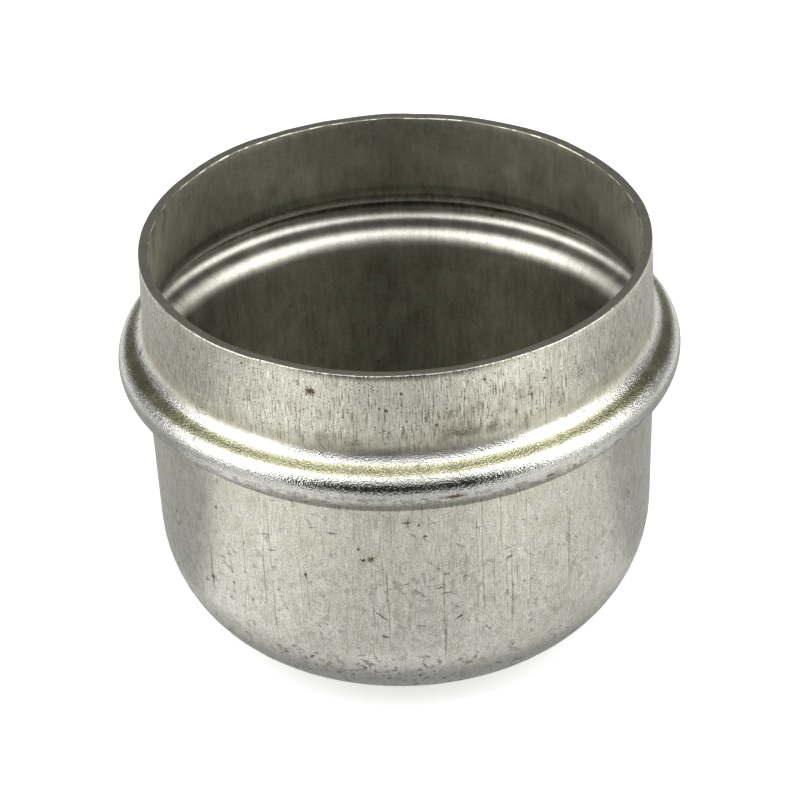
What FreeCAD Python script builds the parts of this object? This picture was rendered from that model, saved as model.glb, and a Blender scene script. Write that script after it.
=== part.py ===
import FreeCAD, Part
import Sketcher
import math
import os

# A deep-drawn cup of sheet steel: the dust cap that closes the end of a wheel hub.
#
# One round blank is drawn into a cup with a flat bottom and a large bottom corner.  A hollow bead is then
# pressed out all round the wall, and the mouth is trimmed square.  The straight collar above the bead is
# driven into the hub's bore until the bead meets the hub's face.
#
# Millimetres, +Z up.  The origin is the centre of the flat bottom, and the Z axis is the cup's axis.

DOCUMENT_NAME = "DrawnCup"
NODE_NAME = "drawn_cup"
PARTS_FOLDER = "parts"

# Alias, value and meaning of each driving dimension.  Radii are those of the cup's outside.
DIMENSIONS = [
    ("overall_height", "42.5", "mm, bottom face to trimmed rim"),
    ("sheet_thickness", "1.0", "mm, the same all over the cup"),
    ("collar_diameter", "50.3", "mm, the outside that is pressed into the hub"),
    ("collar_straight", "8.0", "mm, cylindrical length below the rim"),
    ("bead_projection", "2.55", "mm, how far the bead stands out from the collar"),
    ("bead_nose_radius", "2.2", "mm, round the bead's nose"),
    ("upper_bend_radius", "2.3", "mm, hollow between the collar and the bead"),
    ("lower_bend_radius", "1.2", "mm, hollow between the bead and the body"),
    ("body_step", "0.15", "mm, how far the body's top lies inside the collar's line"),
    ("body_draft", "2.8", "degrees, by which the body narrows downwards"),
    ("bottom_corner_radius", "13.5", "mm, between the body and the bottom"),
    ("rim_edge_radius", "0.12", "mm, on both edges of the trimmed rim"),
]

# Edges of the outline, numbered in the order in which they are drawn.
BOTTOM, CORNER, WALL, LOWER_BEND, NOSE, UPPER_BEND, COLLAR, MOUTH, AXIS = range(9)

# How the Sketcher numbers the points of an edge, and the sketch's own origin.
START, END, CENTRE = 1, 2, 3
SKETCH_ORIGIN = (-1, START)

SKETCH_NORMAL = FreeCAD.Vector(0, 0, 1)
SAME_HEIGHT = 1e-6


def make_dimension_sheet(doc):
    """The spreadsheet that holds every driving dimension under its alias."""
    sheet = doc.addObject("Spreadsheet::Sheet", "Dimensions")
    for row, (alias, value, meaning) in enumerate(DIMENSIONS, start=1):
        sheet.set(f"A{row}", alias)
        sheet.set(f"B{row}", value)
        sheet.set(f"C{row}", meaning)
        sheet.setAlias(f"B{row}", alias)
    doc.recompute()
    return sheet


def origin_feature(body, role):
    """The body's own origin plane or axis with this role."""
    for feature in body.Origin.OriginFeatures:
        if feature.Role == role:
            return feature
    raise RuntimeError(f"{body.Name} has no {role}")


def direction(angle):
    """Unit vector in the sketch plane, at this angle in radians from the sketch's x axis."""
    return FreeCAD.Vector(math.cos(angle), math.sin(angle), 0)


def arc(centre, radius, start_angle, end_angle):
    """Anticlockwise arc in the sketch plane."""
    return Part.ArcOfCircle(Part.Circle(centre, SKETCH_NORMAL, radius), start_angle, end_angle)


def outline_edges(sheet):
    """The cup's filled outside outline, right of the axis, worked out from the driving dimensions.

    The bead is a chain of three arcs.  Each touches the next, so their heights follow from the radii, the
    bead's projection and the step between the collar and the body.
    """
    height = sheet.overall_height
    collar_radius = sheet.collar_diameter / 2
    draft = math.radians(sheet.body_draft)
    upper = sheet.upper_bend_radius
    nose = sheet.bead_nose_radius
    lower = sheet.lower_bend_radius
    corner = sheet.bottom_corner_radius

    # Upper bend and nose: two circles that touch.
    collar_foot = FreeCAD.Vector(collar_radius, height - sheet.collar_straight, 0)
    upper_centre = collar_foot + direction(0) * upper
    nose_x = collar_radius + sheet.bead_projection - nose
    upper_inset = upper_centre.x - nose_x
    upper_drop = math.sqrt((upper + nose) ** 2 - upper_inset ** 2)
    nose_centre = FreeCAD.Vector(nose_x, upper_centre.y - upper_drop, 0)
    upper_touch = math.atan2(upper_drop, upper_inset)

    # Nose and lower bend: two circles that touch, the lower one also touching the body's wall.
    wall_x = collar_radius - sheet.body_step
    lower_x = wall_x + lower * math.cos(draft)
    lower_inset = nose_x - lower_x
    lower_drop = math.sqrt((lower + nose) ** 2 - lower_inset ** 2)
    lower_centre = FreeCAD.Vector(lower_x, nose_centre.y - lower_drop, 0)
    lower_touch = math.atan2(lower_drop, lower_inset)

    # The drafted wall and the corner that it runs into.
    wall_top = lower_centre + direction(math.pi - draft) * lower
    wall_lean = math.tan(draft) * (wall_top.y - corner)
    corner_centre = FreeCAD.Vector(wall_x - wall_lean - corner / math.cos(draft), corner, 0)
    wall_foot = corner_centre + direction(-draft) * corner
    bottom_end = FreeCAD.Vector(corner_centre.x, 0, 0)

    origin = FreeCAD.Vector(0, 0, 0)
    rim = FreeCAD.Vector(collar_radius, height, 0)
    mouth_centre = FreeCAD.Vector(0, height, 0)
    return [
        Part.LineSegment(origin, bottom_end),
        arc(corner_centre, corner, -math.pi / 2, -draft),
        Part.LineSegment(wall_foot, wall_top),
        arc(lower_centre, lower, lower_touch, math.pi - draft),
        arc(nose_centre, nose, lower_touch - math.pi, upper_touch),
        arc(upper_centre, upper, math.pi, math.pi + upper_touch),
        Part.LineSegment(collar_foot, rim),
        Part.LineSegment(rim, mouth_centre),
        Part.LineSegment(mouth_centre, origin),
    ]


def drawn_size(sketch, kind, targets):
    """A size as it is drawn, which a new dimension starts from."""
    if kind == "Radius":
        return sketch.Geometry[targets[0]].Radius
    if kind == "Angle":
        lines = [sketch.Geometry[targets[0]], sketch.Geometry[targets[2]]]
        ways = [line.EndPoint - line.StartPoint for line in lines]
        return ways[0].getAngle(ways[1])
    gap = sketch.getPoint(*targets[2:]) - sketch.getPoint(*targets[:2])
    return gap.x if kind == "DistanceX" else gap.y


def dimension(sketch, name, kind, targets, expression):
    """Add a named dimension whose value comes from the spreadsheet."""
    size = drawn_size(sketch, kind, targets)
    index = sketch.addConstraint(Sketcher.Constraint(kind, *targets, size))
    sketch.renameConstraint(index, name)
    sketch.setExpression(f"Constraints.{name}", expression)


def join_outline(sketch):
    """Close the outline: smooth where the sheet is bent, square at the rim and on the axis."""
    smooth_joints = [
        (BOTTOM, END, CORNER, START),
        (CORNER, END, WALL, START),
        (WALL, END, LOWER_BEND, END),
        (LOWER_BEND, START, NOSE, START),
        (NOSE, END, UPPER_BEND, END),
        (UPPER_BEND, START, COLLAR, START),
    ]
    square_joints = [
        (COLLAR, END, MOUTH, START),
        (MOUTH, END, AXIS, START),
        (AXIS, END, BOTTOM, START),
        (BOTTOM, START, *SKETCH_ORIGIN),
    ]
    for joint in smooth_joints:
        sketch.addConstraint(Sketcher.Constraint("Tangent", *joint))
    for joint in square_joints:
        sketch.addConstraint(Sketcher.Constraint("Coincident", *joint))
    for level in (BOTTOM, MOUTH):
        sketch.addConstraint(Sketcher.Constraint("Horizontal", level))
    for upright in (COLLAR, AXIS):
        sketch.addConstraint(Sketcher.Constraint("Vertical", upright))


def dimension_outline(sketch):
    """Bind every size of the outline to the spreadsheet."""
    collar_radius = "Dimensions.collar_diameter / 2"
    nose_x = f"{collar_radius} + Dimensions.bead_projection - Dimensions.bead_nose_radius"
    wall_x = f"{collar_radius} - Dimensions.body_step"

    dimension(sketch, "height", "DistanceY", (*SKETCH_ORIGIN, MOUTH, END), "Dimensions.overall_height")
    dimension(sketch, "collar_radius", "DistanceX", (*SKETCH_ORIGIN, COLLAR, END), collar_radius)
    dimension(sketch, "straight", "DistanceY", (COLLAR, START, COLLAR, END), "Dimensions.collar_straight")
    dimension(sketch, "nose_x", "DistanceX", (*SKETCH_ORIGIN, NOSE, CENTRE), nose_x)
    dimension(sketch, "wall_x", "DistanceX", (*SKETCH_ORIGIN, WALL, END), wall_x)
    dimension(sketch, "draft", "Angle", (WALL, START, COLLAR, START), "Dimensions.body_draft * 1 deg")

    radii = [
        (UPPER_BEND, "upper_bend_radius"),
        (NOSE, "bead_nose_radius"),
        (LOWER_BEND, "lower_bend_radius"),
        (CORNER, "bottom_corner_radius"),
    ]
    for edge, alias in radii:
        dimension(sketch, alias, "Radius", (edge,), f"Dimensions.{alias}")


def mouth_face(shape, height):
    """Name of the flat face that closes the mouth of the filled cup."""
    for number, face in enumerate(shape.Faces, start=1):
        flat = isinstance(face.Surface, Part.Plane)
        if flat and math.isclose(face.CenterOfMass.z, height, abs_tol=SAME_HEIGHT):
            return f"Face{number}"
    raise RuntimeError("the filled cup has no face at its mouth")


def rim_edges(shape, height):
    """Names of the rim's outer and inner circles."""
    names = []
    for number, edge in enumerate(shape.Edges, start=1):
        circular = isinstance(edge.Curve, Part.Circle)
        if circular and math.isclose(edge.Curve.Center.z, height, abs_tol=SAME_HEIGHT):
            names.append(f"Edge{number}")
    return names


def make_drawn_cup(doc, sheet):
    """The cup: its outline turned about the axis, hollowed to the sheet, and its rim edges eased."""
    body = doc.addObject("PartDesign::Body", "Cup")
    body.Label = NODE_NAME
    body.Placement = FreeCAD.Placement()

    outline = body.newObject("Sketcher::SketchObject", "OutsideOutline")
    outline.AttachmentSupport = (origin_feature(body, "XZ_Plane"), [""])
    outline.MapMode = "FlatFace"
    doc.recompute()
    outline.addGeometry(outline_edges(sheet), False)
    join_outline(outline)
    dimension_outline(outline)
    doc.recompute()

    filled = body.newObject("PartDesign::Revolution", "FilledCup")
    filled.Profile = outline
    filled.ReferenceAxis = (outline, ["V_Axis"])
    filled.Angle = 360.0
    doc.recompute()

    hollow = body.newObject("PartDesign::Thickness", "SheetWall")
    hollow.Base = (filled, [mouth_face(filled.Shape, sheet.overall_height)])
    hollow.Mode = "Skin"
    hollow.Join = "Arc"
    hollow.Reversed = True
    hollow.setExpression("Value", "Dimensions.sheet_thickness * 1 mm")
    doc.recompute()

    rim = body.newObject("PartDesign::Fillet", "RimEdges")
    rim.Base = (hollow, rim_edges(hollow.Shape, sheet.overall_height))
    rim.setExpression("Radius", "Dimensions.rim_edge_radius * 1 mm")
    doc.recompute()
    return body


def check_model(doc, cup):
    """Stop if a feature failed, a size was left free, or the cup isn't one valid solid."""
    for item in doc.Objects:
        if "Invalid" in item.State or "Error" in item.State:
            raise RuntimeError(f"{item.Label} failed: {item.State}")
    if not doc.OutsideOutline.FullyConstrained:
        raise RuntimeError("the outline isn't fully constrained")
    if cup.Shape.isNull() or not cup.Shape.isValid():
        raise RuntimeError(f"{cup.Label} has no valid shape")
    if len(cup.Shape.Solids) != 1:
        raise RuntimeError(f"{cup.Label} is {len(cup.Shape.Solids)} solids")


def main():
    doc = FreeCAD.newDocument(DOCUMENT_NAME)
    sheet = make_dimension_sheet(doc)
    cup = make_drawn_cup(doc, sheet)
    check_model(doc, cup)

    os.makedirs(PARTS_FOLDER, exist_ok=True)
    cup.Shape.exportStep(os.path.join(PARTS_FOLDER, f"{cup.Label}.step"))
    box = cup.Shape.optimalBoundingBox()
    size = f"{box.XLength:.2f} x {box.YLength:.2f} x {box.ZLength:.2f} mm"
    print(f"{cup.Label}: {size}, volume {cup.Shape.Volume:.1f} mm3")


main()
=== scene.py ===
import math

import bpy
from bpy.props import FloatProperty, FloatVectorProperty, IntProperty, PointerProperty
from bpy.types import Operator, Panel, PropertyGroup
from mathutils import Matrix, Quaternion, Vector


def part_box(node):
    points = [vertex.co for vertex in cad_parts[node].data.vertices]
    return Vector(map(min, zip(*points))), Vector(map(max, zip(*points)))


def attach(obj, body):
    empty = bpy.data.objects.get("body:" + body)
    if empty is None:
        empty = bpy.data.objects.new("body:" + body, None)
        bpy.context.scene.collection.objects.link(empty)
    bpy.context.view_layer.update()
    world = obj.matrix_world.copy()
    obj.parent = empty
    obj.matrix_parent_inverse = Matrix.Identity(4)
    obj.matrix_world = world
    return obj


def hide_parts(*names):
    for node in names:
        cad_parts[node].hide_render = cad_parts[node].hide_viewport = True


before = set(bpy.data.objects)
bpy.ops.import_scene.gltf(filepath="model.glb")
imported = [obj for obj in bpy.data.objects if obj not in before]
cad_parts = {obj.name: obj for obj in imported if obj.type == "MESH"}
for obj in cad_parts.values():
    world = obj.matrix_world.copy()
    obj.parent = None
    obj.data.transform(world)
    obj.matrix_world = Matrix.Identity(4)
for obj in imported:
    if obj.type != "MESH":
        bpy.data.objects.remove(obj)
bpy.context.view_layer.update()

bl_info = {
    "name": "Deep Drawn Cup",
    "version": (1, 0, 0),
    "blender": (4, 5, 0),
    "location": "View3D > Sidebar > Drawn Cup",
    "description": "Makes a deep drawn steel dust cap and the stage that it stands on",
    "category": "Object",
}

CAD_NODE = "drawn_cup"
BODY = "root"

MM = 0.001
MM_PER_METRE = 1000.0

BOX_LOW, BOX_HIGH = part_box(CAD_NODE)
BEAD_RADIUS = (BOX_HIGH.x - BOX_LOW.x) / 2
CUP_HEIGHT = BOX_HIGH.z - BOX_LOW.z

# The finishes of the cup, in the order of its material slots.
OUTSIDE, INSIDE, RIM = range(3)

# The radius, in millimetres, at which distances round the cup are true.
GIRTH_RADIUS = 25.0
# Inside this radius, in millimetres, the wall has turned into the bottom.
BOTTOM_RADIUS = 23.0
# Keeps divisions by the radius safe on the axis, in millimetres.
LEAST_RADIUS = 0.5

# Edges in each run and arc of the section, up the outside, over the rim and down the inside.
OUTSIDE_STEPS = {
    "bottom": 6, "corner": 16, "wall": 12, "lower": 8, "nose": 20, "upper": 12, "collar": 10}
RIM_STEPS = {"edge": 3, "top": 2}
INSIDE_STEPS = {
    "collar": 10, "upper": 12, "nose": 16, "lower": 8, "wall": 10, "corner": 14, "bottom": 5}
WELD_DISTANCE = 0.002 * MM
SMOOTH_ANGLE = math.radians(50)
RIM_WAVE_LENGTH = 7 * MM
# The share of the rim's rounding that still carries the finish of the trimmed rim.
ROUNDING_SHARE = 0.3

# Bands of the outside: from and to, in millimetres above the bottom, and the soft width past them.
# Painted shade: along the collar's root the steel is mixed towards the stain colour, darker where
# the smudges fall.
SHADED_COLLAR_ROOT = (34.1, 35.2, 0.9)
# Painted shade: the hollow between collar and bead is painted darker, and given the straw tint.
STRAW_AND_SHADED_HOLLOW = (32.25, 32.65, 0.3)
BEAD = (28.7, 33.3, 0.7)
NOSE = (29.8, 31.2, 0.5)
# Painted shade: the bead's underside is painted darker.
UNDERSIDE_SHADE = (27.9, 29.2, 0.5)
SCRAPED_LINE = (28.9, 29.9, 0.3)
# Painted shade: the crease where the bead meets the body is painted dark.
CREASE_SHADE = (27.1, 27.9, 0.15)
MIDDLE_SCUFFS = (11.5, 19.0, 3.0)
LOW_SCUFFS = (3.4, 8.4, 1.2)
# The browner part of the collar, in millimetres round the cup to the right of its front.
BROWN_SIDE = (4.0, 14.0, 5.0)
# Bands of the inside.
GROOVE = (27.0, 30.4, 0.5)
# Painted shade: the top of the groove, its fold and the lip are painted darker.
SHADED_GROOVE_TOP = (30.9, 34.2, 0.7)
SHADED_FOLD = (30.8, 32.5, 0.4)
SHADED_LIP = (32.8, 33.3, 0.4)

# Heights, in millimetres, between which something comes in on the outside.
COLLAR = (34.0, 35.5)
LOW_COLLAR = (41.5, 37.5)
BROWN_STAIN = (40.5, 37.5)
BODY_WALL = (28.2, 27.6)
RUBBED_BODY = (24.0, 8.0)
CORNER = (12.0, 4.0)
# The same on the inside, and on the burrs of the rim's two edges, where glints are painted.
# Painted light and shade inside: lighter up the wall towards the mouth, darker down the low wall
# and in the well.
LIT_UPPER_WALL = (33.5, 38.0)
BLOTCHES = (37.0, 40.5)
SHADED_LOW_WALL = (27.5, 25.0)
SHADED_WELL = (14.0, 9.0)
GLINTING_BURR = (42.15, 42.35)

# Spots on the outside: degrees from the front, height, half width, half height (millimetres)
# and lean (degrees).
RUST_SPOTS = (
    (-20.3, 40.1, 0.42, 0.42, 0.0),
    (-8.4, 21.3, 0.40, 0.30, 10.0),
    (-10.2, 21.1, 0.28, 0.20, 0.0),
    (9.8, 29.9, 0.75, 0.22, 0.0),
    (30.5, 29.6, 0.40, 0.18, 0.0),
)
DARK_SPOTS = (
    (-3.5, 38.5, 0.17, 0.17, 0.0),
    (-4.9, 38.7, 0.12, 0.14, 0.0),
    (33.0, 38.9, 0.20, 0.12, 30.0),
    (0.0, 25.6, 0.55, 0.07, 3.0),
    (0.3, 25.7, 0.07, 0.55, 0.0),
    (2.6, 25.2, 0.14, 0.10, 0.0),
    (-17.0, 24.0, 0.55, 0.08, 0.0),
    (4.0, 23.9, 0.20, 0.14, 45.0),
    (8.2, 19.2, 0.38, 0.07, 5.0),
    (6.9, 17.6, 0.38, 0.07, 8.0),
    (-6.8, 14.6, 0.70, 0.07, -42.0),
    (-6.0, 12.1, 0.45, 0.12, -25.0),
    (11.5, 14.0, 0.50, 0.06, 35.0),
    (-24.0, 18.5, 0.14, 0.40, 0.0),
)
# Where a spot fades out and where it is full, as shares of its half sizes.
SPOT_EDGE = (1.15, 0.75)
# The most that each of these hides of the steel.
MOST_STAIN_AND_SHADE, MOST_DIRT_AND_SHADE, MOST_RUST = 0.85, 0.92, 0.92

# Azimuth 0 is the camera's side of the cup, and 90 is to its right.
# Lamps: name, azimuth, elevation (degrees), distance, width, height (metres) and share of the
# brightness.
LAMPS = (
    ("left_lamp", -72, 38, 0.45, 0.40, 0.50, 1.0),
    ("right_lamp", 72, 38, 0.45, 0.40, 0.50, 1.0),
    ("front_lamp", 0, 66, 0.34, 0.26, 0.12, 0.85),
)
# Upright cards: name, azimuths of both ends (degrees), bottom, top, distance (metres) and shade.
WALL_CARDS = (
    ("front_card", -48, 48, -0.01, 0.70, 1.3, 0.02),
    ("rear_card", 100, 260, -0.01, 4.6, 1.25, 0.22),
)
# The card overhead: name, height, radius, how far back (metres) and shade.
CEILING_CARD = ("top_card", 1.25, 0.56, 0.50, 0.30)
# Cards on the floor: name, azimuths of both ends, soft part of the ends (degrees), near edge, soft
# part of it, far edge, height above the floor (millimetres) and shade.
FLOOR_CARDS = (
    # Painted shade under the cup.
    ("under_card", 0, 359.9, 0, 1, 0, 25, 0.3, 0.40),
    # Painted shadow in front of the cup.
    ("front_floor_card", -40, 40, 30, 28, 0, 150, 0.3, 0.84),
    # Painted shadow behind the cup.
    ("rear_floor_card", 64, 296, 20, 28, 0, 110, 0.3, 0.52),
    # Painted pools of light on the floor to the left and right of the cup.
    ("left_floor_card", -85, -33, 13, 28, 0, 80, 0.6, 1.22),
    ("right_floor_card", 55, 95, 18, 28, 0, 80, 0.6, 0.98),
    # Painted shade on the floor further out to the left and right.
    ("left_far_card", -128, -44, 22, 80, 20, 260, 0.5, 0.60),
    ("right_far_card", 44, 128, 22, 80, 20, 260, 0.5, 0.80),
    ("far_floor_card", -58, 58, 30, 100, 40, 1280, 0.9, 0.05),
)
# The share of a floor card's far edge where it starts to fade.
FAR_FADE = 0.8
CARD_STEPS = 48
CEILING_STEPS = 64
FLOOR_STEPS = 96
FLOOR_RADIUS = 4.0
# Distances from the axis between which the floor's mirror image comes up to white; nearer the cup
# it stays darker, as painted shade.
FLOOR_SHADE_TO_GLOW = (10.0 * MM, 160.0 * MM)

SENSOR_WIDTH = 36.0
CAMERA_CLIP = (0.01, 50.0)
WHITE = (1.0, 1.0, 1.0)


class CupSizes(PropertyGroup):
    """The sizes that the cup is drawn and trimmed to."""

    height: FloatProperty(
        name="Height", description="From the bottom to the trimmed rim",
        default=CUP_HEIGHT, unit="LENGTH")
    bead_radius: FloatProperty(
        name="Bead Radius", description="From the axis to the bead's nose",
        default=BEAD_RADIUS, unit="LENGTH")
    sheet: FloatProperty(
        name="Sheet", description="Thickness of the sheet",
        default=1.0 * MM, unit="LENGTH")
    collar_radius: FloatProperty(
        name="Collar Radius", description="Outside of the collar",
        default=25.15 * MM, unit="LENGTH")
    collar_length: FloatProperty(
        name="Collar Length", description="Straight length below the rim",
        default=8.0 * MM, unit="LENGTH")
    nose: FloatProperty(
        name="Nose", description="Radius of the bead's nose",
        default=2.2 * MM, unit="LENGTH")
    upper_bend: FloatProperty(
        name="Upper Bend", description="Hollow between collar and bead",
        default=2.3 * MM, unit="LENGTH")
    lower_bend: FloatProperty(
        name="Lower Bend", description="Hollow between bead and body",
        default=1.2 * MM, unit="LENGTH")
    body_step: FloatProperty(
        name="Body Step", description="How far the body's top lies inside the collar's line",
        default=0.15 * MM, unit="LENGTH")
    draft: FloatProperty(
        name="Draft", description="Lean of the body's wall",
        default=math.radians(2.8), unit="ROTATION")
    corner: FloatProperty(
        name="Corner", description="Radius between body and bottom",
        default=13.5 * MM, unit="LENGTH")
    rim_edge: FloatProperty(
        name="Rim Edge", description="Rounding of the rim's edges",
        default=0.12 * MM, unit="LENGTH")
    rim_wave: FloatProperty(
        name="Rim Wave", description="How far the trimmed rim dips",
        default=0.3 * MM, unit="LENGTH")
    steps_round: IntProperty(
        name="Steps Round", description="Faces in one turn",
        default=448, min=24)


class SteelFinish(PropertyGroup):
    """The colours and the polish of the drawn steel."""

    steel: FloatVectorProperty(
        name="Steel", description="Bare steel outside",
        default=(0.550, 0.540, 0.455), subtype="COLOR", min=0, max=1)
    # Darker than the outside steel.
    inside: FloatVectorProperty(
        name="Inside", description="Oiled steel inside",
        default=(0.43, 0.43, 0.35), subtype="COLOR", min=0, max=1)
    groove: FloatVectorProperty(
        name="Groove", description="Clean steel inside the bead",
        default=(0.46, 0.45, 0.40), subtype="COLOR", min=0, max=1)
    # Also the colour of the painted shade along the collar's root.
    stain_and_shade: FloatVectorProperty(
        name="Stain", description="Brown stain on the collar",
        default=(0.240, 0.210, 0.150), subtype="COLOR", min=0, max=1)
    straw: FloatVectorProperty(
        name="Straw", description="Yellowish steel in the hollow",
        default=(0.460, 0.450, 0.300), subtype="COLOR", min=0, max=1)
    blued: FloatVectorProperty(
        name="Blued", description="Cold grey steel where it was rubbed",
        default=(0.510, 0.510, 0.480), subtype="COLOR", min=0, max=1)
    rust: FloatVectorProperty(
        name="Rust", description="Specks of rust",
        default=(0.110, 0.062, 0.022), subtype="COLOR", min=0, max=1)
    # Also the colour of the painted shade in the crease below the bead.
    dirt_and_shade: FloatVectorProperty(
        name="Dirt", description="Dirt in pits and scratches",
        default=(0.06, 0.05, 0.04), subtype="COLOR", min=0, max=1)
    roughness: FloatProperty(
        name="Roughness", description="Roughness of the clean steel",
        default=0.26, min=0, max=1, subtype="FACTOR")
    line_depth: FloatProperty(
        name="Line Depth", description="Depth of the drawing lines",
        default=0.012 * MM, unit="LENGTH")
    grain_depth: FloatProperty(
        name="Grain Depth", description="Depth of the grain on the bead",
        default=0.030 * MM, unit="LENGTH")


class StageSettings(PropertyGroup):
    """The floor, the lamps and the camera."""

    floor_colour: FloatVectorProperty(
        name="Floor Colour", description="Pale floor",
        default=(0.80, 0.80, 0.80), subtype="COLOR", min=0, max=1)
    floor_lift: FloatProperty(
        name="Floor Lift", description="Brightness that the camera sees added to the floor",
        default=0.60)
    ambient: FloatProperty(
        name="Ambient", description="Plain light from all round",
        default=0.25)
    lamp_brightness: FloatProperty(
        name="Lamp Brightness", description="Brightness of the side lamps' faces",
        default=2.6)
    camera_distance: FloatProperty(
        name="Camera Distance", description="From the cup's middle to the camera",
        default=0.7513, unit="LENGTH")
    camera_height_angle: FloatProperty(
        name="Camera Height Angle", description="How far the camera looks down",
        default=math.radians(31.84), unit="ROTATION")
    camera_roll: FloatProperty(
        name="Camera Roll", description="Turn of the camera about its own line of sight",
        default=math.radians(2.39), unit="ROTATION")
    camera_aim: FloatProperty(
        name="Camera Aim", description="Height on the axis that the camera looks at",
        default=24.05 * MM, unit="LENGTH")
    camera_side: FloatProperty(
        name="Camera Side", description="How far beside the axis the camera looks",
        default=-0.16 * MM, unit="LENGTH")
    lens: FloatProperty(
        name="Lens", description="Focal length in millimetres on a 36 mm sensor",
        default=341.8)


# Sockets and nodes -------------------------------------------------------------------------------


class Signal:
    """A shader socket that carries a number, and can be used in sums."""

    def __init__(self, shader, socket):
        self.shader = shader
        self.socket = socket

    def _sum(self, operation, *values):
        inputs = dict(enumerate(values))
        node = self.shader.node("ShaderNodeMath", {"operation": operation}, inputs)
        return Signal(self.shader, node.outputs[0])

    def __add__(self, other):
        return self._sum("ADD", self, other)

    def __radd__(self, other):
        return self._sum("ADD", other, self)

    def __sub__(self, other):
        return self._sum("SUBTRACT", self, other)

    def __rsub__(self, other):
        return self._sum("SUBTRACT", other, self)

    def __mul__(self, other):
        return self._sum("MULTIPLY", self, other)

    def __rmul__(self, other):
        return self._sum("MULTIPLY", other, self)

    def __truediv__(self, other):
        return self._sum("DIVIDE", self, other)

    def __rtruediv__(self, other):
        return self._sum("DIVIDE", other, self)

    def root(self):
        return self._sum("SQRT", self)

    def size(self):
        """This number without its sign."""
        return self._sum("ABSOLUTE", self)

    def highest(self, other):
        return self._sum("MAXIMUM", self, other)

    def lowest(self, other):
        return self._sum("MINIMUM", self, other)

    def angle_from(self, other):
        """Angle of the point (other, self), as atan2 gives it."""
        return self._sum("ARCTAN2", self, other)

    def ramp(self, start, end):
        """Goes smoothly from 0 to 1 as this number goes from start to end, up or down."""
        rising = start < end
        inputs = {
            "Value": self, "From Min": min(start, end), "From Max": max(start, end),
            "To Min": 0.0 if rising else 1.0, "To Max": 1.0 if rising else 0.0}
        settings = {"interpolation_type": "SMOOTHSTEP"}
        node = self.shader.node("ShaderNodeMapRange", settings, inputs)
        return Signal(self.shader, node.outputs[0])

    def band(self, start, end, soft):
        """1 between start and end, falling to 0 over the soft width outside them."""
        return self.ramp(start - soft, start) * self.ramp(end + soft, end)


class Shader:
    """The nodes of one material or world."""

    def __init__(self, owner):
        owner.use_nodes = True
        self.tree = owner.node_tree
        self.tree.nodes.clear()

    def node(self, kind, settings=None, inputs=None):
        """A node of this kind: its settings first, then the values or links of its sockets."""
        node = self.tree.nodes.new(kind)
        for name, value in (settings or {}).items():
            setattr(node, name, value)
        for name, value in (inputs or {}).items():
            self.feed(node.inputs[name], value)
        return node

    def feed(self, socket, value):
        """Links a socket to another, or sets its value."""
        if isinstance(value, Signal):
            value = value.socket
        if isinstance(value, bpy.types.NodeSocket):
            self.tree.links.new(value, socket)
        elif socket.type == "RGBA" and len(value) == 3:
            socket.default_value = (*value, 1.0)
        else:
            socket.default_value = value

    def signal(self, socket):
        return Signal(self, socket)

    def object_point(self):
        """Where the point lies on its object, in metres."""
        return self.node("ShaderNodeTexCoord").outputs["Object"]

    def split(self, vector):
        """The three parts of a vector."""
        parts = self.node("ShaderNodeSeparateXYZ", None, {0: vector})
        return [self.signal(socket) for socket in parts.outputs]

    def rays(self, *kinds):
        """1 for rays of any of these kinds, 0 for the others."""
        path = self.node("ShaderNodeLightPath")
        found = [self.signal(path.outputs[f"Is {kind} Ray"]) for kind in kinds]
        seen = found[0]
        for signal in found[1:]:
            seen = seen.highest(signal)
        return seen

    def point(self, x, y, z):
        return self.node("ShaderNodeCombineXYZ", None, {"X": x, "Y": y, "Z": z}).outputs[0]

    def noise(self, where, scale, detail=2.0, roughness=0.5, dimensions="3D"):
        """Cloudy noise from 0 to 1: scale is how many clouds go into a millimetre."""
        inputs = {"Vector": where, "Scale": scale, "Detail": detail, "Roughness": roughness}
        node = self.node("ShaderNodeTexNoise", {"noise_dimensions": dimensions}, inputs)
        return self.signal(node.outputs["Fac"])

    def specks(self, where, scale):
        """Distance to the nearest of scattered points, and a number of that point's own."""
        settings = {"feature": "F1", "voronoi_dimensions": "2D"}
        node = self.node("ShaderNodeTexVoronoi", settings, {"Vector": where, "Scale": scale})
        parts = self.node("ShaderNodeSeparateColor", None, {"Color": node.outputs["Color"]})
        return self.signal(node.outputs["Distance"]), self.signal(parts.outputs[0])

    def mix(self, share, first, second):
        """A colour that goes from the first to the second."""
        settings = {"data_type": "RGBA", "clamp_factor": True}
        node = self.node("ShaderNodeMix", settings, {0: share, 6: first, 7: second})
        return node.outputs[2]

    def scaled(self, vector, factor):
        """A colour or a place times a number."""
        inputs = {0: vector, "Scale": factor}
        return self.node("ShaderNodeVectorMath", {"operation": "SCALE"}, inputs).outputs[0]


# Cup ---------------------------------------------------------------------------------------------


def polar(angle, length):
    """The point at this angle and this distance from the origin."""
    return Vector((math.cos(angle) * length, math.sin(angle) * length))


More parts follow.
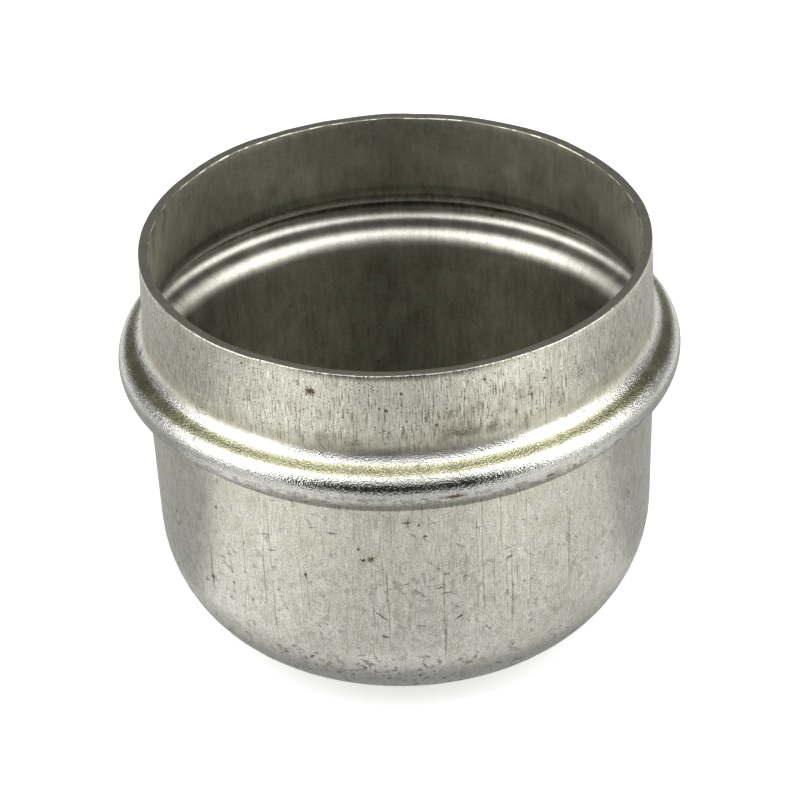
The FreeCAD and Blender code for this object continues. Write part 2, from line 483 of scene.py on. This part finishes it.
def sheet_outline(sizes):
    """The outside of the section: each arc's centre and turn, and the top of the wall."""
    upper, nose, lower = sizes.upper_bend, sizes.nose, sizes.lower_bend
    collar_foot = Vector((sizes.collar_radius, sizes.height - sizes.collar_length))
    upper_centre = collar_foot + Vector((upper, 0))
    nose_x = sizes.bead_radius - nose
    upper_inset = upper_centre.x - nose_x
    upper_drop = math.sqrt((upper + nose) ** 2 - upper_inset ** 2)
    nose_centre = Vector((nose_x, upper_centre.y - upper_drop))
    upper_touch = math.atan2(upper_drop, upper_inset)

    wall_x = sizes.collar_radius - sizes.body_step
    lower_x = wall_x + lower * math.cos(sizes.draft)
    lower_inset = nose_x - lower_x
    lower_drop = math.sqrt((lower + nose) ** 2 - lower_inset ** 2)
    lower_centre = Vector((lower_x, nose_centre.y - lower_drop))
    lower_touch = math.atan2(lower_drop, lower_inset)

    wall_top = lower_centre + polar(math.pi - sizes.draft, lower)
    wall_lean = math.tan(sizes.draft) * (wall_top.y - sizes.corner)
    corner_x = wall_x - wall_lean - sizes.corner / math.cos(sizes.draft)
    corner_centre = Vector((corner_x, sizes.corner))
    return {
        "corner": (corner_centre, math.pi / 2 - sizes.draft),
        "wall_top": wall_top,
        "lower": (lower_centre, lower_touch - math.pi + sizes.draft),
        "nose": (nose_centre, math.pi - lower_touch + upper_touch),
        "upper": (upper_centre, -upper_touch),
    }


def start_vertex(location):
    """One vertex of a new mesh, left in edit mode."""
    bpy.ops.object.select_all(action="DESELECT")
    bpy.ops.mesh.primitive_plane_add(size=MM, location=location)
    bpy.ops.object.mode_set(mode="EDIT")
    bpy.ops.mesh.select_all(action="SELECT")
    bpy.ops.mesh.merge(type="CENTER")


class Scriber:
    """Draws the section of the sheet with one vertex, in the plane of the x and z axes."""

    def __init__(self, start):
        start_vertex((start.x, 0, start.y))
        self.place = start.copy()

    def run(self, end, steps):
        """Straight to the end point."""
        stride = (end - self.place) / steps
        for _ in range(steps):
            bpy.ops.mesh.extrude_vertices_move(
                TRANSFORM_OT_translate={"value": (stride.x, 0, stride.y)})
        self.place = end.copy()

    def bend(self, centre, turn, steps):
        """Round a centre: a positive turn is anticlockwise, seen from the front."""
        bpy.ops.mesh.spin(
            steps=steps, angle=turn, center=(centre.x, 0, centre.y), axis=(0, 1, 0),
            dupli=False)
        arm = self.place - centre
        arm.rotate(Matrix.Rotation(turn, 2))
        self.place = centre + arm


def draw_section(sizes):
    """The section of the sheet: from the axis up the outside, over the rim and down the inside."""
    outline = sheet_outline(sizes)
    sheet, edge = sizes.sheet, sizes.rim_edge
    corner_centre, corner_turn = outline["corner"]
    lower_centre, lower_turn = outline["lower"]
    nose_centre, nose_turn = outline["nose"]
    upper_centre, upper_turn = outline["upper"]
    outer, inner = sizes.collar_radius, sizes.collar_radius - sheet
    top = sizes.height
    inward = polar(math.pi - sizes.draft, sheet)
    wall_foot = corner_centre + polar(-sizes.draft, sizes.corner)

    scriber = Scriber(Vector((0, 0)))
    steps = OUTSIDE_STEPS
    scriber.run(Vector((corner_centre.x, 0)), steps["bottom"])
    scriber.bend(corner_centre, corner_turn, steps["corner"])
    scriber.run(outline["wall_top"], steps["wall"])
    scriber.bend(lower_centre, lower_turn, steps["lower"])
    scriber.bend(nose_centre, nose_turn, steps["nose"])
    scriber.bend(upper_centre, upper_turn, steps["upper"])
    scriber.run(Vector((outer, top - edge)), steps["collar"])
    steps = RIM_STEPS
    scriber.bend(Vector((outer - edge, top - edge)), math.pi / 2, steps["edge"])
    scriber.run(Vector((inner + edge, top)), steps["top"])
    scriber.bend(Vector((inner + edge, top - edge)), math.pi / 2, steps["edge"])
    steps = INSIDE_STEPS
    scriber.run(Vector((inner, top - sizes.collar_length)), steps["collar"])
    scriber.bend(upper_centre, -upper_turn, steps["upper"])
    scriber.bend(nose_centre, -nose_turn, steps["nose"])
    scriber.bend(lower_centre, -lower_turn, steps["lower"])
    scriber.run(wall_foot + inward, steps["wall"])
    scriber.bend(corner_centre, -corner_turn, steps["corner"])
    scriber.run(Vector((0, sheet)), steps["bottom"])


def make_cup_mesh(sizes):
    """Draws the section and turns it once round the axis."""
    draw_section(sizes)
    bpy.ops.mesh.select_all(action="SELECT")
    bpy.ops.mesh.spin(
        steps=sizes.steps_round, angle=2 * math.pi, center=(0, 0, 0), axis=(0, 0, 1),
        dupli=False)
    bpy.ops.mesh.select_all(action="SELECT")
    bpy.ops.mesh.remove_doubles(threshold=WELD_DISTANCE)
    bpy.ops.mesh.select_all(action="SELECT")
    bpy.ops.mesh.normals_make_consistent(inside=False)
    bpy.ops.object.mode_set(mode="OBJECT")
    cup = bpy.context.view_layer.objects.active
    cup.name = "steel_cup"
    cup.data.name = "steel_cup"
    bpy.ops.object.transform_apply(location=True, rotation=True, scale=True)
    bpy.ops.object.shade_smooth_by_angle(angle=SMOOTH_ANGLE)
    return cup


def wear_rim(cup, sizes):
    """Lets the trimmed rim dip a little, as the shear and handling leave it."""
    rim = cup.vertex_groups.new(name="rim")
    span = sizes.collar_length / 2
    start = sizes.height - span
    for vertex in cup.data.vertices:
        if vertex.co.z > start:
            rim.add([vertex.index], ((vertex.co.z - start) / span) ** 2, "REPLACE")
    clouds = bpy.data.textures.new("rim_waves", "CLOUDS")
    clouds.noise_scale = RIM_WAVE_LENGTH
    clouds.noise_depth = 2
    waves = cup.modifiers.new("rim_waves", "DISPLACE")
    waves.texture = clouds
    waves.texture_coords = "LOCAL"
    waves.vertex_group = "rim"
    waves.direction = "Z"
    waves.mid_level = 1.0
    waves.strength = sizes.rim_wave
    bpy.ops.object.select_all(action="DESELECT")
    cup.select_set(True)
    bpy.context.view_layer.objects.active = cup
    bpy.ops.object.modifier_apply(modifier="rim_waves")


def share_out_finishes(cup, sizes):
    """Gives each face the finish of the outside, the inside or the trimmed rim."""
    outline = sheet_outline(sizes)
    rim_level = sizes.height - ROUNDING_SHARE * sizes.rim_edge
    for face in cup.data.polygons:
        place = Vector((face.center.xy.length, face.center.z))
        if place.y > rim_level:
            face.material_index = RIM
        elif depth_in_sheet(place, outline, sizes) > sizes.sheet / 2:
            face.material_index = INSIDE
        else:
            face.material_index = OUTSIDE


def depth_in_sheet(place, outline, sizes):
    """How far a point of the section lies below the outside of the sheet."""
    corner_centre, lower_centre, nose_centre, upper_centre = (
        outline[name][0] for name in ("corner", "lower", "nose", "upper"))
    wall_top = outline["wall_top"]
    nose, upper, lower = sizes.nose, sizes.upper_bend, sizes.lower_bend
    touch = (nose_centre * upper + upper_centre * nose) / (nose + upper)
    foot = (nose_centre * lower + lower_centre * nose) / (nose + lower)
    if place.y > upper_centre.y:
        return sizes.collar_radius - place.x
    if place.y < corner_centre.y and place.x < corner_centre.x:
        return place.y
    if place.y < corner_centre.y:
        return sizes.corner - (place - corner_centre).length
    if place.y < lower_centre.y:
        return wall_top.x - math.tan(sizes.draft) * (wall_top.y - place.y) - place.x
    if side_of(place, nose_centre, touch) > 0 and place.y > nose_centre.y:
        return (place - upper_centre).length - upper
    if side_of(place, nose_centre, foot) < 0 and place.y < nose_centre.y:
        return (place - lower_centre).length - lower
    return nose - (place - nose_centre).length


def side_of(place, start, end):
    """Positive when the place lies to the left of the line from start to end."""
    way, arm = end - start, place - start
    return way.x * arm.y - way.y * arm.x


class Place:
    """Where a point lies on the cup, in millimetres, as sockets of its material."""

    def __init__(self, shader):
        self.shader = shader
        self.point = shader.scaled(shader.object_point(), MM_PER_METRE)
        self.x, self.y, self.z = shader.split(self.point)
        self.radius = (self.x * self.x + self.y * self.y).root().highest(LEAST_RADIUS)
        self.around = self.x.angle_from(0.0 - self.y) * GIRTH_RADIUS

    def pulled(self, stretch, shift=0.0):
        """A point whose pattern is stretched this many times along the pull of the press."""
        return self.shader.point(
            self.x / self.radius * GIRTH_RADIUS, self.y / self.radius * GIRTH_RADIUS,
            self.z / stretch + shift)

    def unrolled(self, stretch, shift=0.0):
        """As pulled, but on the unrolled wall and bottom, whose ends meet at the back: quicker."""
        down = self.z + self.radius.lowest(BOTTOM_RADIUS)
        return self.shader.point(self.around, down / stretch + shift, 0.0)

    def turned(self, degrees, stretch, shift=0.0):
        """A point of the unrolled wall, stretched along a line at this angle to the rim."""
        turn = math.radians(degrees)
        along = self.around * math.cos(turn) + self.z * math.sin(turn)
        across = self.z * math.cos(turn) - self.around * math.sin(turn)
        return self.shader.point(along / stretch + shift, across, 0.0)

    def spots(self, spots, wobble):
        """Ragged spots, each at an angle from the front and a height above the bottom."""
        nearest = None
        for angle, height, half_width, half_height, turn in spots:
            cosine, sine = math.cos(math.radians(turn)), math.sin(math.radians(turn))
            across = self.around - math.radians(angle) * GIRTH_RADIUS
            rise = self.z - height
            long = across * (cosine / half_width) + rise * (sine / half_width)
            short = rise * (cosine / half_height) - across * (sine / half_height)
            reach = long * long + short * short
            nearest = reach if nearest is None else nearest.lowest(reach)
        return (nearest.root() + wobble).ramp(*SPOT_EDGE)


def drawing_lines(place):
    """Lines along the pull: a fine weave, broad streaks, dark and light strokes, long scores."""
    noise = place.shader.noise
    fine = noise(place.unrolled(11.0), scale=8.0, detail=1.0, roughness=0.6, dimensions="2D")
    broad = noise(place.pulled(14.0, shift=40.0), scale=1.1, roughness=0.6)
    strokes = noise(place.unrolled(13.0, shift=9.0), scale=7.5, detail=1.0, dimensions="2D")
    long_lines = noise(place.unrolled(60.0, shift=1.7), scale=3.6, detail=1.0, dimensions="2D")
    dark = strokes.ramp(0.55, 0.68) * broad.ramp(0.36, 0.56)
    light = strokes.ramp(0.44, 0.30) * broad.ramp(0.48, 0.64)
    score = long_lines.ramp(0.66, 0.73) * broad.ramp(0.44, 0.56)
    return fine, broad, dark, light, score


def scattered_pits(place, scale, share, size):
    """Pits of about this size, at this share of the scattered points."""
    distance, choice = place.shader.specks(place.unrolled(1.0), scale)
    return distance.ramp(size, size * 0.4) * choice.ramp(1.0 - share, 1.04 - share)


def scratches(place, patch):
    """Short scratches from handling, at two angles, in patches."""
    noise = place.shader.noise
    level = noise(
        place.turned(9.0, stretch=8.0, shift=3.0), scale=4.6, detail=0.0, dimensions="2D")
    slanted = noise(
        place.turned(-42.0, stretch=9.0, shift=9.0), scale=4.2, detail=0.0, dimensions="2D")
    return level.ramp(0.72, 0.80).highest(slanted.ramp(0.73, 0.81)) * patch


def finish_surface(shader, colour, roughness, height, depth):
    """Bare metal of this colour and roughness, with bumps of this depth."""
    bump = shader.node(
        "ShaderNodeBump", None, {"Strength": 1.0, "Distance": depth, "Height": height})
    surface = shader.node("ShaderNodeBsdfPrincipled", None, {
        "Base Color": colour, "Metallic": 1.0, "Roughness": roughness,
        "Normal": bump.outputs[0]})
    shader.node("ShaderNodeOutputMaterial", None, {"Surface": surface.outputs[0]})


def make_outside_steel(finish):
    """Drawn steel: lines of the pull, grain where it was stretched, stains, pits, scratches, and
    painted shade and glints.
    """
    material = bpy.data.materials.new("drawn_steel_outside")
    shader = Shader(material)
    place = Place(shader)
    z = place.z

    # Regions of the cup.
    collar = z.ramp(*COLLAR)
    # The root, hollow, underside and crease carry painted shade, and the band below the rim
    # painted glints.
    root = z.band(*SHADED_COLLAR_ROOT)
    hollow = z.band(*STRAW_AND_SHADED_HOLLOW)
    bead = z.band(*BEAD)
    nose = z.band(*NOSE)
    underside_shade = z.band(*UNDERSIDE_SHADE)
    crease_shade = z.band(*CREASE_SHADE)
    burr_stain_and_glint = z.ramp(*GLINTING_BURR)
    body = z.ramp(*BODY_WALL)
    lined = (1.0 - z.ramp(*CORNER) * 0.85) * (1.0 - bead)
    low_collar = z.ramp(*LOW_COLLAR) * collar
    brown_side = place.around.band(*BROWN_SIDE) * z.ramp(*BROWN_STAIN) * collar

    # Patterns.
    fine, broad, dark, light, score = drawing_lines(place)
    pit = scattered_pits(place, scale=0.62, share=0.05, size=0.14)
    speck = scattered_pits(place, scale=2.3, share=0.20, size=0.24)
    grain = shader.noise(place.point, scale=8.5, detail=0.0)
    sparkle = shader.noise(place.point, scale=7.0, detail=0.0)
    smudge = shader.noise(place.pulled(1.3, shift=25.0), scale=0.42, roughness=0.65)
    patch = shader.noise(place.pulled(1.0, shift=60.0), scale=1.25, roughness=0.7)
    scratch = scratches(place, smudge.ramp(0.50, 0.60) * patch.ramp(0.46, 0.56))
    wobble = (grain - 0.5) * 2.4 + (patch - 0.5) * 1.6

    # Stains low on the collar and in the lines, and painted shade along the collar's root.
    stained = smudge.ramp(0.44, 0.62)
    stain_and_shade = (
        (low_collar * 0.18 + brown_side * 0.18) * stained
        + brown_side * (0.12 + dark * 0.35)
        # Painted shade along the collar's root.
        + root * (0.20 + stained * 0.25)
        + dark * lined * (0.38 + collar * 0.18 + low_collar * 0.36)
        + patch.ramp(0.58, 0.68) * 0.16
        + burr_stain_and_glint * patch.ramp(0.52, 0.58) * 0.7)

    # Dirt in the scuffs, scores, scratches and pits, and painted shade in the crease where the
    # bead meets the body.
    scuff_rings = z.band(*LOW_SCUFFS) + z.band(*MIDDLE_SCUFFS) * 0.45
    scuff = patch.ramp(0.52, 0.62) * scuff_rings * grain.ramp(0.44, 0.56) * (0.45 + stained * 0.55)
    scraped = patch.ramp(0.46, 0.56) * z.band(*SCRAPED_LINE) * grain.ramp(0.40, 0.60) * 0.7
    dirt_and_crease_shade = (
        scratch * 0.5 + score * body * lined * 0.42 + scuff + scraped + pit * 0.85
        # Painted shade in the crease below the bead.
        + speck * (0.15 + collar * 0.70) + crease_shade * 0.60
        + place.spots(DARK_SPOTS, wobble)).lowest(MOST_DIRT_AND_SHADE)
    rust = place.spots(RUST_SPOTS, wobble).lowest(MOST_RUST)

    # Light and dark of the clean steel, with painted shade in the hollow and under the bead and
    # painted glints along the rim's outer edge.
    tone_and_painted_light = (
        1.0 + (fine - 0.5) * (0.38 + collar * 0.50) * lined
        + (broad - 0.5) * 0.35 * lined
        + (smudge - 0.5) * 0.50
        + (grain - 0.5) * 0.95
        + light * lined * (0.12 + collar * 0.20)
        # Painted shade in the hollow and under the bead.
        + collar * 0.08 + root * 0.17 - underside_shade * 0.15 - hollow * 0.40
        # Painted glints along the rim's outer edge, darker between them.
        + burr_stain_and_glint * (patch.ramp(0.44, 0.54) * 0.9 - 0.45))
    rubbed = stained * body * 0.3 + z.ramp(*RUBBED_BODY) * 0.4

    colour = shader.mix(bead * 0.8, finish.steel, finish.blued)
    colour = shader.mix(hollow, colour, finish.straw)
    colour = shader.mix(rubbed, colour, finish.blued)
    colour = shader.scaled(colour, tone_and_painted_light)
    colour = shader.mix(stain_and_shade.lowest(MOST_STAIN_AND_SHADE), colour, finish.stain_and_shade)
    colour = shader.mix(dirt_and_crease_shade, colour, finish.dirt_and_shade)
    colour = shader.mix(rust, colour, finish.rust)
    roughness = (
        finish.roughness + (fine - 0.5) * 0.15 * lined + (smudge - 0.5) * 0.15 + stain_and_shade * 0.15
        + dirt_and_crease_shade * 0.25 + root * 0.12 - nose * 0.09 + rust * 0.3)
    height = fine * lined * 0.4 + sparkle * (0.06 + bead * 1.2)
    finish_surface(shader, colour, roughness, height, finish.grain_depth)
    return material


def make_inside_steel(finish):
    """Dull steel darker than the outside, bright in the groove and mottled below the rim, with
    painted shade deep inside and in the groove and painted glints below the rim.
    """
    material = bpy.data.materials.new("drawn_steel_inside")
    shader = Shader(material)
    place = Place(shader)
    z = place.z

    grain = shader.noise(place.point, scale=7.0, detail=1.0, roughness=0.7)
    streak = shader.noise(
        place.unrolled(6.0, shift=3.3), scale=1.8, detail=1.0, roughness=0.6, dimensions="2D")
    mottle = shader.noise(place.pulled(1.6, shift=8.0), scale=0.50, detail=3.0, roughness=0.7)
    blotch = mottle.ramp(0.42, 0.66) * z.ramp(*BLOTCHES)
    spot = scattered_pits(place, scale=0.42, share=0.03, size=0.10)

    tone_and_painted_light = (
        1.0 + (mottle - 0.5) * 0.75 + (grain - 0.5) * 0.90 + (streak - 0.5) * 0.30
        # Painted light near the mouth and painted shade down the wall and in the well.
        + z.ramp(*LIT_UPPER_WALL) * 0.24 - z.ramp(*SHADED_LOW_WALL) * 0.17 - z.ramp(*SHADED_WELL) * 0.3
        # Painted shade in the groove's top, fold and lip.
        - z.band(*SHADED_GROOVE_TOP) * 0.35 - z.band(*SHADED_FOLD) * 0.42 - z.band(*SHADED_LIP) * 0.25
        - blotch * 0.65
        # Painted glints along the rim's inner edge, darker between them.
        + z.ramp(*GLINTING_BURR) * (mottle.ramp(0.48, 0.57) * 1.7 - 0.7))
    colour = shader.mix(z.band(*GROOVE), finish.inside, finish.groove)
    colour = shader.scaled(colour, tone_and_painted_light.highest(0.1))
    colour = shader.mix(spot * 0.7, colour, finish.dirt_and_shade)
    roughness = finish.roughness + 0.14 + (mottle - 0.5) * 0.15 + blotch * 0.08
    finish_surface(shader, colour, roughness, grain, finish.line_depth * 0.5)
    return material


def make_rim_steel(finish):
    """The sheared edge of the sheet: darker, with the marks of the trimming tool along it."""
    material = bpy.data.materials.new("drawn_steel_rim")
    shader = Shader(material)
    place = Place(shader)
    chatter = shader.noise(place.point, scale=3.5, detail=3.0, roughness=0.7)
    torn = shader.noise(place.point, scale=1.2, detail=3.0, roughness=0.6)
    colour = shader.scaled(finish.steel, 0.80 + (chatter - 0.5) * 0.6 + (torn - 0.5) * 0.5)
    colour = shader.mix(torn.ramp(0.50, 0.64) * 0.45, colour, finish.stain_and_shade)
    roughness = finish.roughness + 0.08 + (chatter - 0.5) * 0.2
    finish_surface(shader, colour, roughness, chatter, finish.grain_depth)
    return material


# Stage -------------------------------------------------------------------------------------------


def add_floor(settings):
    """A wide pale floor that looks white and still takes the cup's shadow."""
    bpy.ops.mesh.primitive_circle_add(
        vertices=FLOOR_STEPS, radius=FLOOR_RADIUS, fill_type="NGON", location=(0, 0, 0))
    floor = bpy.context.view_layer.objects.active
    floor.name = "floor"
    material = bpy.data.materials.new("floor")
    shader = Shader(material)
    x, y, _ = shader.split(shader.object_point())
    # Painted shade: near the cup the floor's mirror image is not lifted to white.
    glow_past_painted_shade = (x * x + y * y).root().ramp(*FLOOR_SHADE_TO_GLOW)
    lift = shader.rays("Camera").highest(shader.rays("Glossy", "Transmission") * glow_past_painted_shade)
    surface = shader.node("ShaderNodeBsdfPrincipled", None, {
        "Base Color": tuple(settings.floor_colour), "Roughness": 0.9, "Specular IOR Level": 0.0,
        "Emission Color": shader.scaled(WHITE, lift * settings.floor_lift),
        "Emission Strength": 1.0})
    shader.node("ShaderNodeOutputMaterial", None, {"Surface": surface.outputs[0]})
    floor.data.materials.append(material)


def add_world(settings):
    """White all round to the eye and in reflections, and a plain even light on everything."""
    world = bpy.data.worlds.new("studio")
    bpy.context.scene.world = world
    shader = Shader(world)
    seen = shader.rays("Camera", "Glossy", "Transmission")
    strength = settings.ambient + seen * (1.0 - settings.ambient)
    background = shader.node("ShaderNodeBackground", None, {"Color": WHITE, "Strength": strength})
    shader.node("ShaderNodeOutputWorld", None, {"Surface": background.outputs[0]})


def add_lamp(name, azimuth, elevation, distance, width, height, brightness):
    """A soft lamp that faces the cup."""
    turn, rise = math.radians(azimuth), math.radians(elevation)
    flat = math.cos(rise)
    way = Vector((math.sin(turn) * flat, -math.cos(turn) * flat, math.sin(rise)))
    data = bpy.data.lights.new(name, "AREA")
    data.shape = "RECTANGLE"
    data.size = width
    data.size_y = height
    data.energy = brightness * math.pi * width * height
    lamp = bpy.data.objects.new(name, data)
    bpy.context.scene.collection.objects.link(lamp)
    lamp.location = way * distance
    lamp.rotation_euler = way.to_track_quat("Z", "Y").to_euler()
    lamp.visible_camera = False


def sweep_card(name, start, stride, azimuth_from, azimuth_to, shade, soft=None):
    """A card drawn as one line and turned round the cup."""
    start_vertex(start)
    bpy.ops.mesh.extrude_vertices_move(TRANSFORM_OT_translate={"value": stride})
    bpy.ops.mesh.select_all(action="SELECT")
    bpy.ops.mesh.spin(
        steps=CARD_STEPS, angle=math.radians(azimuth_to - azimuth_from), center=(0, 0, 0),
        axis=(0, 0, -1), dupli=False)
    bpy.ops.object.mode_set(mode="OBJECT")
    card = bpy.context.view_layer.objects.active
    bpy.ops.object.transform_apply(location=True, rotation=True, scale=True)
    card.name = name
    card.rotation_euler = (0, 0, math.radians(azimuth_from))
    finish_card(card, shade, soft)


def add_wall_card(name, azimuth_from, azimuth_to, bottom, top, distance, shade):
    """A curved upright card, as set up round bright metal in a studio."""
    sweep_card(
        name, (0, -distance, bottom), (0, 0, top - bottom), azimuth_from, azimuth_to, shade)


def add_ceiling_card(name, height, radius, back, shade):
    """A round card overhead."""
    bpy.ops.object.select_all(action="DESELECT")
    bpy.ops.mesh.primitive_circle_add(
        vertices=CEILING_STEPS, radius=radius, fill_type="NGON", location=(0, back, height))
    card = bpy.context.view_layer.objects.active
    card.name = name
    finish_card(card, shade)


def add_floor_card(name, azimuth_from, azimuth_to, fade, near, near_fade, far, height, shade):
    """A part of a ring on the floor round the cup, with soft ends and a soft far edge."""
    near, near_fade, far = near * MM, near_fade * MM, far * MM
    half_turn = (azimuth_to - azimuth_from) / 2
    sweep_card(
        name, (0, -near, height * MM), (0, near - far, 0), azimuth_from, azimuth_to, shade,
        (half_turn, fade, near, near_fade, far))


def finish_card(card, shade, soft=None):
    """One even grey that only reflections show, with edges as card_cover gives them."""
    card.visible_camera = False
    card.visible_diffuse = False
    card.visible_shadow = False
    material = bpy.data.materials.new(card.name)
    shader = Shader(material)
    surface = shader.node(
        "ShaderNodeEmission", None, {"Color": (shade, shade, shade), "Strength": 1.0}).outputs[0]
    if soft:
        cover = card_cover(shader, *soft)
        clear = shader.node("ShaderNodeBsdfTransparent").outputs[0]
        surface = shader.node(
            "ShaderNodeMixShader", None, {0: cover, 1: clear, 2: surface}).outputs[0]
    shader.node("ShaderNodeOutputMaterial", None, {"Surface": surface})
    card.data.materials.append(material)


def card_cover(shader, half_turn, fade, near, near_fade, far):
    """1 inside a floor card, falling to 0 at its ends and its soft edges."""
    x, y, _ = shader.split(shader.object_point())
    radius = (x * x + y * y).root()
    cover = radius.ramp(far, far * FAR_FADE)
    if near_fade:
        cover = cover * radius.ramp(near, near + near_fade)
    if fade:
        middle = math.radians(half_turn)
        ahead = y * -math.cos(middle) + x * math.sin(middle)
        aside = y * math.sin(middle) + x * math.cos(middle)
        turn = aside.angle_from(ahead).size()
        cover = cover * turn.ramp(middle, middle - math.radians(fade))
    return cover


def add_camera(settings):
    """A long lens that looks down on the cup, rolled a little."""
    aim = Vector((settings.camera_side, 0, settings.camera_aim))
    rise = settings.camera_height_angle
    away = Vector((0, -math.cos(rise), math.sin(rise)))
    data = bpy.data.cameras.new("camera")
    data.sensor_width = SENSOR_WIDTH
    data.lens = settings.lens
    data.clip_start, data.clip_end = CAMERA_CLIP
    camera = bpy.data.objects.new("camera", data)
    bpy.context.scene.collection.objects.link(camera)
    camera.location = aim + away * settings.camera_distance
    facing = away.to_track_quat("Z", "Y")
    roll = Quaternion((0, 0, 1), -settings.camera_roll)
    camera.rotation_euler = (facing @ roll).to_euler()
    bpy.context.scene.camera = camera


# Operators ---------------------------------------------------------------------------------------


class OBJECT_OT_make_steel_cup(Operator):
    """Make the drawn steel cup in place of the plain model"""

    bl_idname = "object.make_steel_cup"
    bl_label = "Make Steel Cup"
    bl_options = {"REGISTER", "UNDO"}

    def execute(self, context):
        sizes = context.scene.cup_sizes
        finish = context.scene.cup_finish
        cup = make_cup_mesh(sizes)
        cup.data.materials.clear()
        for make_finish in (make_outside_steel, make_inside_steel, make_rim_steel):
            cup.data.materials.append(make_finish(finish))
        share_out_finishes(cup, sizes)
        wear_rim(cup, sizes)
        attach(cup, BODY)
        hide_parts(CAD_NODE)
        return {"FINISHED"}


class OBJECT_OT_make_cup_stage(Operator):
    """Set up the pale floor, the soft lamps, the grey cards and the camera"""

    bl_idname = "object.make_cup_stage"
    bl_label = "Make Stage"
    bl_options = {"REGISTER", "UNDO"}

    def execute(self, context):
        settings = context.scene.cup_stage
        context.scene.view_settings.view_transform = "Standard"
        add_world(settings)
        add_floor(settings)
        for *layout, share in LAMPS:
            add_lamp(*layout, settings.lamp_brightness * share)
        for card in WALL_CARDS:
            add_wall_card(*card)
        add_ceiling_card(*CEILING_CARD)
        for card in FLOOR_CARDS:
            add_floor_card(*card)
        add_camera(settings)
        return {"FINISHED"}


class VIEW3D_PT_drawn_cup(Panel):
    """Sizes, finish and stage of the drawn cup"""

    bl_label = "Drawn Cup"
    bl_idname = "VIEW3D_PT_drawn_cup"
    bl_space_type = "VIEW_3D"
    bl_region_type = "UI"
    bl_category = "Drawn Cup"

    def draw(self, context):
        column = self.layout.column()
        scene = context.scene
        for group in (scene.cup_sizes, scene.cup_finish, scene.cup_stage):
            for name in group.__annotations__:
                column.prop(group, name)
            column.separator()
        column.operator(OBJECT_OT_make_steel_cup.bl_idname)
        column.operator(OBJECT_OT_make_cup_stage.bl_idname)


CLASSES = (
    CupSizes,
    SteelFinish,
    StageSettings,
    OBJECT_OT_make_steel_cup,
    OBJECT_OT_make_cup_stage,
    VIEW3D_PT_drawn_cup,
)


def register():
    for cls in CLASSES:
        bpy.utils.register_class(cls)
    bpy.types.Scene.cup_sizes = PointerProperty(type=CupSizes)
    bpy.types.Scene.cup_finish = PointerProperty(type=SteelFinish)
    bpy.types.Scene.cup_stage = PointerProperty(type=StageSettings)


def unregister():
    del bpy.types.Scene.cup_stage
    del bpy.types.Scene.cup_finish
    del bpy.types.Scene.cup_sizes
    for cls in reversed(CLASSES):
        bpy.utils.unregister_class(cls)


def main():
    register()
    bpy.ops.object.make_steel_cup()
    bpy.ops.object.make_cup_stage()


if __name__ == "__main__":
    main()
